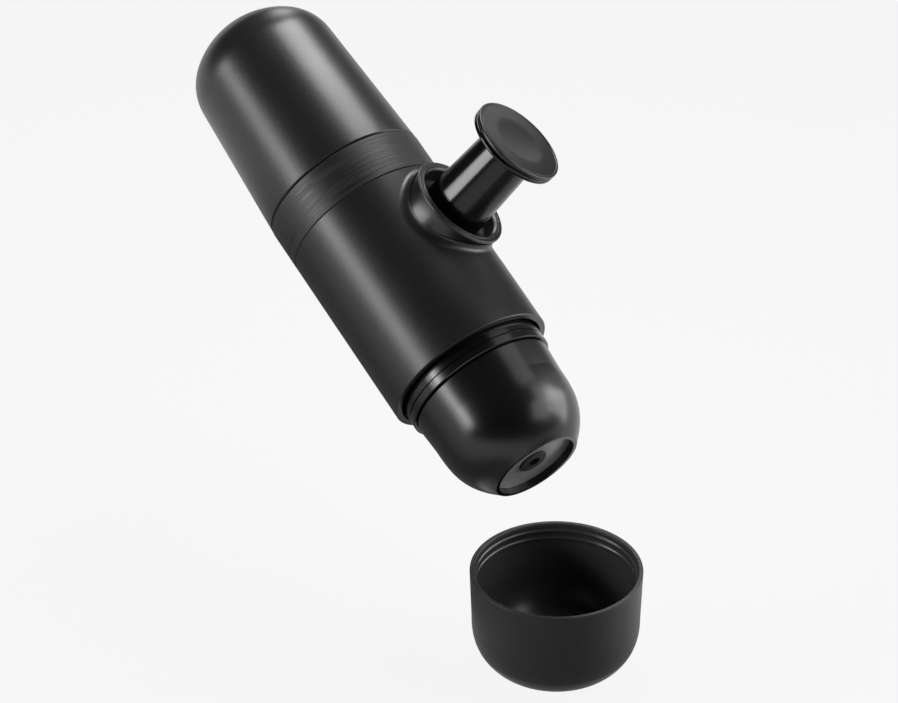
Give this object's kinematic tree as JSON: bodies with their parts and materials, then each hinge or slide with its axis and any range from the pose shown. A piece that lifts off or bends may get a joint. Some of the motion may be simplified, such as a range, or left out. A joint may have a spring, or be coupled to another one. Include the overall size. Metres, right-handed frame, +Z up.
{
  "type": "handheld manual espresso maker",
  "caption": "Slim handheld espresso maker with domed water tank, side pump plunger and domed outlet head, held tilted over its small rounded cup.",
  "frame": {"origin": "on the barrel's axis, in the middle of the stretch that the hand grips", "axes": "+Z up, as the cup stands. The maker's own axis lies in the XZ plane, 62.3 degrees off upright, with the water tank up towards -X and the outlet down towards +X. The plunger points up and towards +X and +Y."},
  "size_m": [0.2158, 0.0756, 0.1869],
  "materials": {
    "satin_black": "satin, fine grain",
    "gloss_black": "polished",
    "frame_grey": "moulded",
    "steel": "bright",
    "seal_grey": "matte silicone",
    "bush_white": "low friction, smooth"
  },
  "bodies": {
    "maker": {"body_shell": "satin_black", "top_band": "satin_black", "boss_collar": "gloss_black", "guide_bush": "bush_white", "rod_wiper": "seal_grey", "pump_chassis": "frame_grey", "deck_seal": "seal_grey", "tank_seal": "seal_grey", "inlet_strainer": "steel", "inlet_valve": "seal_grey", "vent_valve": "seal_grey", "outlet_valve": "seal_grey", "pump_cylinder": "steel", "cylinder_gland": "bush_white", "return_spring": "steel", "neck_ring": "gloss_black", "chassis_screws": "steel", "shower_screen": "steel", "brew_gasket": "seal_grey"},
    "tank": {"water_tank": "satin_black"},
    "piston": {"piston_head": "bush_white", "piston_ring": "seal_grey", "piston_stem": "steel"},
    "plunger": {"plunger_rod": "gloss_black", "plunger_knob": "gloss_black", "knob_cap": "satin_black", "knob_screw": "steel"},
    "basket": {"filter_basket": "steel", "basket_holder": "gloss_black"},
    "head": {"outlet_head": "gloss_black", "outlet_nozzle": "seal_grey"},
    "cup": {"cup": "satin_black"}
  },
  "joints": [
    {"name": "pump_stroke", "type": "slide", "parent": "maker", "child": "piston", "axis": [-0.4123, -0.4617, -0.7854], "range_m": [0, 0.0283], "stiffness_N_per_m": 350, "springref_m": -0.012, "deforming": ["return_spring"]},
    {"name": "plunger_turn", "type": "hinge", "parent": "piston", "child": "plunger", "pos_m": [-0.01489, 0.01575, 0.04198], "axis": [0.4123, 0.4617, 0.7854], "range_deg": [0, 45]},
    {"name": "tank_off", "type": "slide", "parent": "maker", "child": "tank", "axis": [-0.8854, 0, 0.4648], "range_m": [0, 0.016]},
    {"name": "basket_off", "type": "slide", "parent": "maker", "child": "basket", "axis": [0.8854, 0, -0.4648], "range_m": [0, 0.024]},
    {"name": "head_off", "type": "slide", "parent": "basket", "child": "head", "axis": [0.8854, 0, -0.4648], "range_m": [0, 0.018]},
    {"name": "cup_shift", "type": "slide", "parent": "maker", "child": "cup", "axis": [1, 0, 0], "range_m": [0, 0.05]}
  ]
}
